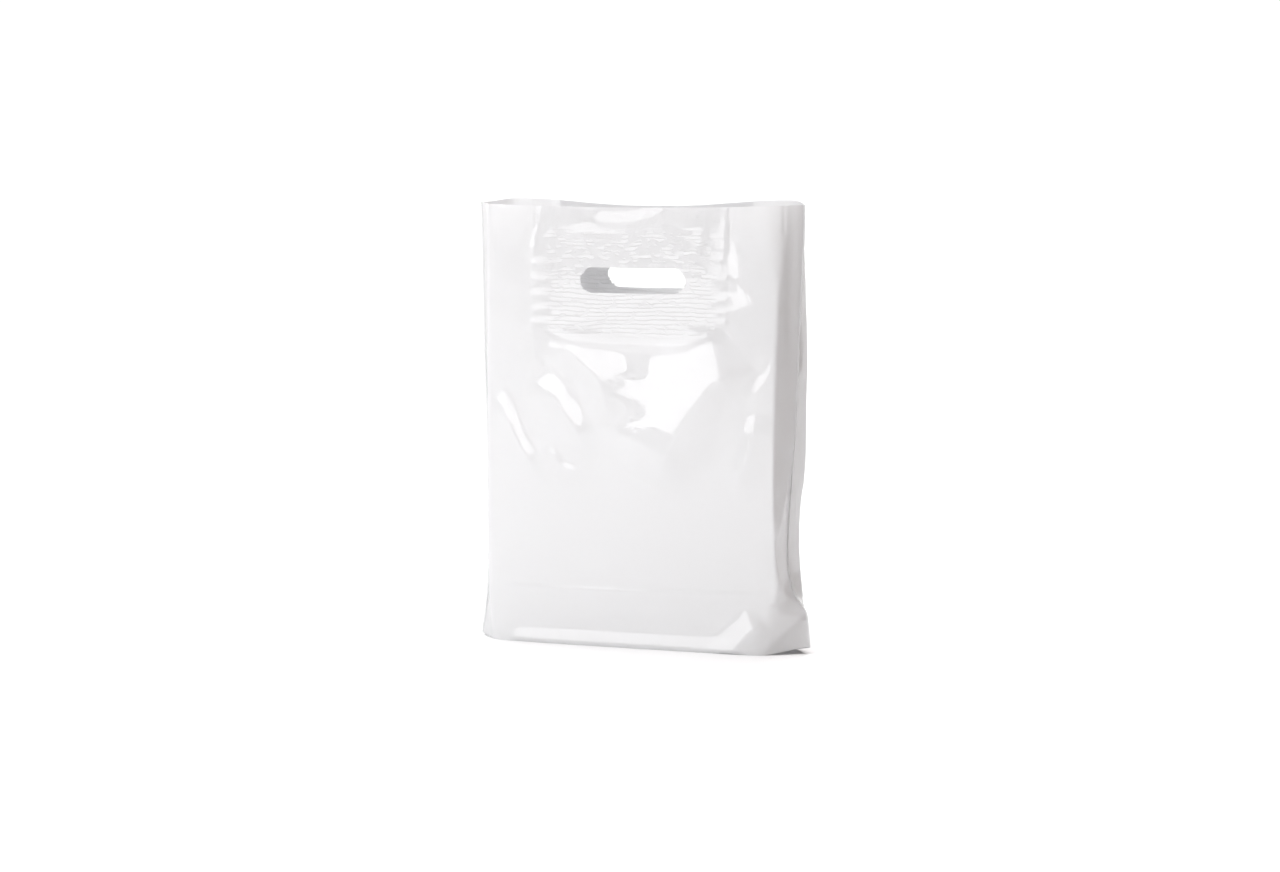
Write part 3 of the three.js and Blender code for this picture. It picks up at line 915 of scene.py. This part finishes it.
def film_material(name, patch_whiter, ripple, roughness):
    """ripple is the ripples' height in millimetres, and patch_whiter a share of the range of tones."""
    material = bpy.data.materials.new(name)
    material.use_nodes = True
    tree = material.node_tree
    tree.nodes.clear()
    root = Socket(tree)
    across, along, height = film_lengths(root)
    noise = film_noise(root, across, along)
    patch, rippled = patch_masks(root, across, height)
    relief_mm = fine_relief(noise, rippled * ripples(root, height, noise) * ripple)
    normal = root.node("Bump", inputs={"Strength": 1.0, "Distance": MM, "Height": relief_mm})
    cell = root.node("CombineXYZ", inputs={0: across * SPECK_GRID, 1: along * SPECK_GRID})
    speck = 1 - root.node("TexVoronoi", dict(feature="F1", voronoi_dimensions="2D"), {
        "Vector": cell, "Scale": 1.0}).ramp(0.008, 0.016)
    cloudy = noise(1, 0.5, 60)
    tone = (cloudy - 0.5) * 0.05 + patch * patch_whiter - speck * 0.25 + 0.5
    dark, light = ((*[min(1, c * share) for c in FILM_WHITE], 1) for share in TONES)
    body = root.node("ValToRGB", dict(stops=[(0.0, dark), (1.0, light)]), {0: tone})
    gloss = root.node("BsdfPrincipled", inputs={
        "Base Color": body, "Roughness": (cloudy - 0.5) * 0.03 + rippled * 0.02 + roughness,
        "Normal": normal, "IOR": 1.51, "Specular IOR Level": 0.9})
    glow = root.node("BsdfTranslucent", inputs={"Color": (*FILM_WHITE, 1)})
    surface = root.node("MixShader", inputs={0: THROUGH, 1: gloss, 2: glow})
    root.node("OutputMaterial", inputs={"Surface": surface})
    print("finish", name, "has", len(tree.nodes), "nodes")
    return material


film_piece.data.materials.append(film_material("film_white", patch_whiter=0.06, ripple=0.34, roughness=0.02))
patch_white = film_material("patch_white", patch_whiter=0.0, ripple=0.28, roughness=0.05)
for patch in (front_patch, back_patch):
    patch.data.materials.append(patch_white)

# %% [markdown]
# ## The stand-in studio
#
# White film on white paper is lit so that the paper burns out and the film just doesn't. The paper is a
# large sheet. It ends past the camera's view on the right, so that it doesn't light the shaded flank.

# %% The floor
FLOOR_SIZE, FLOOR_RIGHT = 30.0, 1.1  # half the paper's size, and where it ends on the right, in metres


def make_floor():
    bm = bmesh.new()
    bmesh.ops.create_grid(bm, x_segments=1, y_segments=1, size=FLOOR_SIZE)
    bmesh.ops.translate(bm, vec=(FLOOR_RIGHT - FLOOR_SIZE, 0, 0), verts=bm.verts)
    mesh = bpy.data.meshes.new("floor")
    bm.to_mesh(mesh)
    bm.free()
    floor = bpy.data.objects.new("floor", mesh)
    bpy.context.collection.objects.link(floor)
    material = bpy.data.materials.new("paper")
    material.use_nodes = True
    principled = material.node_tree.nodes["Principled BSDF"]
    principled.inputs["Base Color"].default_value = (0.9, 0.9, 0.9, 1)
    principled.inputs["Roughness"].default_value = 0.9
    principled.inputs["Specular IOR Level"].default_value = 0.1
    mesh.materials.append(material)
    return floor


print("the floor's right edge is", round(make_floor().data.vertices[1].co.x, 1), "m from the bag")

# %% [markdown]
# A white backdrop behind the bag shines through the film and lights its inside. The room is grey in front
# and on the left, darker and warmer on the right, so that the right flank stays in shade. The camera
# itself sees plain white all round.

# %% The room
SEEN_WHITE = 1.05  # just burnt out


def grey(level):
    return level, level, level, 1


def make_room(backdrop, front, right):
    world = bpy.data.worlds.new("studio")
    world.use_nodes = True
    tree = world.node_tree
    tree.nodes.clear()
    root = Socket(tree)
    seen = root.node("LightPath", output="Is Camera Ray")
    towards = root.node("TexCoord", output="Generated")
    to_right = root.node("SeparateXYZ", inputs={0: towards}, output=0).ramp(-0.3, 0.35)
    to_back = root.node("SeparateXYZ", inputs={0: towards}, output=1).ramp(0.1, 0.8)
    around = root.node("Mix", dict(data_type="RGBA"), {0: to_back, 6: front, 7: backdrop}, output=2)
    around = root.node("Mix", dict(data_type="RGBA"), {0: to_right, 6: around, 7: right}, output=2)
    light = root.node("Background", inputs={"Color": around, "Strength": 1.0})
    back = root.node("Background", inputs={"Color": grey(SEEN_WHITE), "Strength": 1.0})
    root.node("OutputWorld", inputs={0: root.node("MixShader", inputs={0: seen, 1: light, 2: back})})
    bpy.context.scene.world = world
    print("the room has", len(tree.nodes), "nodes")


make_room(backdrop=grey(3.1), front=grey(0.19), right=(0.12, 0.07, 0.05, 1))

# %% [markdown]
# A broad, soft key from the front left lights the front wall, and three wide, weak lamps fill it from
# above and from straight ahead. A tall softbox, the only lamp seen in the gloss, draws the crisp
# highlights: where a facet leans back a little, it mirrors the box. Its lower edge hangs a little over
# the camera, so flat film just misses it.

# %% The lamps
COOL = (0.98, 0.985, 1.0)
SOFTBOX = dict(size=3.3, size_y=2.5)  # width and height in metres
SOFTBOX_LOW = 0.55  # height of its lower edge
middle = Vector((0, 0, bag_high.z * 0.6))
softbox_middle = Vector((0, 0, SOFTBOX_LOW + SOFTBOX["size_y"] / 2))


def aim(obj, towards):
    obj.rotation_mode = "QUATERNION"
    obj.rotation_quaternion = (Vector(towards) - obj.location).to_track_quat("-Z", "Y")


def direction(azimuth, elevation):
    """Unit vector from the bag towards an azimuth (0 is in front, positive to the right)."""
    a, e = math.radians(azimuth), math.radians(elevation)
    return Vector((math.sin(a) * math.cos(e), -math.cos(a) * math.cos(e), math.sin(e)))


def make_light(name, kind, azimuth, elevation, distance, energy, towards=middle, in_gloss=False, **settings):
    data = bpy.data.lights.new(name, kind)
    data.energy = energy
    for key, value in settings.items():
        setattr(data, key, value)
    light = bpy.data.objects.new(name, data)
    light.location = Vector(towards) + direction(azimuth, elevation) * distance
    aim(light, towards)
    light.visible_glossy = in_gloss
    light.visible_camera = False
    bpy.context.collection.objects.link(light)


make_light("key", "AREA", azimuth=-48, elevation=24, distance=1.6, energy=3.3, size=1.0, color=COOL)
for name, azimuth, elevation, energy, spread in (
        ("front", 2, 14, 0.38, 10), ("upper", -20, 58, 0.6, 30), ("top", 0, 89, 2.15, 60)):
    make_light(name, "SUN", azimuth, elevation, 3, energy, angle=math.radians(spread), color=COOL)
make_light("softbox", "AREA", azimuth=-29, elevation=0, distance=6.0, energy=100, towards=softbox_middle,
           in_gloss=True, shape="RECTANGLE", **SOFTBOX)
print("there are", len(bpy.data.lights), "lamps")

# %% [markdown]
# The camera stands well back and a little over the bag's rim, and looks at it from the front right.

# %% The camera
CAMERA_AZIMUTH, CAMERA_ELEVATION, CAMERA_DISTANCE = 25.0, 4.45, 3.939
CAMERA_LENS, SENSOR = 109.7, 36.0
LOOK_HEIGHT = 0.2112
LOOK_LEFT = 0.0013  # the bag stands a little right of the view's middle
to_side = Vector((math.cos(math.radians(CAMERA_AZIMUTH)), math.sin(math.radians(CAMERA_AZIMUTH)), 0))
look_at = Vector((film_middle * MM, 0, LOOK_HEIGHT)) - to_side * LOOK_LEFT
camera = bpy.data.objects.new("camera", bpy.data.cameras.new("camera"))
camera.data.lens = CAMERA_LENS
camera.data.sensor_width = SENSOR
camera.location = look_at + direction(CAMERA_AZIMUTH, CAMERA_ELEVATION) * CAMERA_DISTANCE
aim(camera, look_at)
bpy.context.collection.objects.link(camera)
bpy.context.scene.camera = camera
bpy.context.scene.view_settings.view_transform = "Standard"
print("the camera stands", round(camera.location.z, 3), "m high")

# %% [markdown]
# ## The end
#
# The creases and the lower right weld stand a few millimetres outside the CAD model's smooth walls.

# %% The end
bpy.context.view_layer.update()
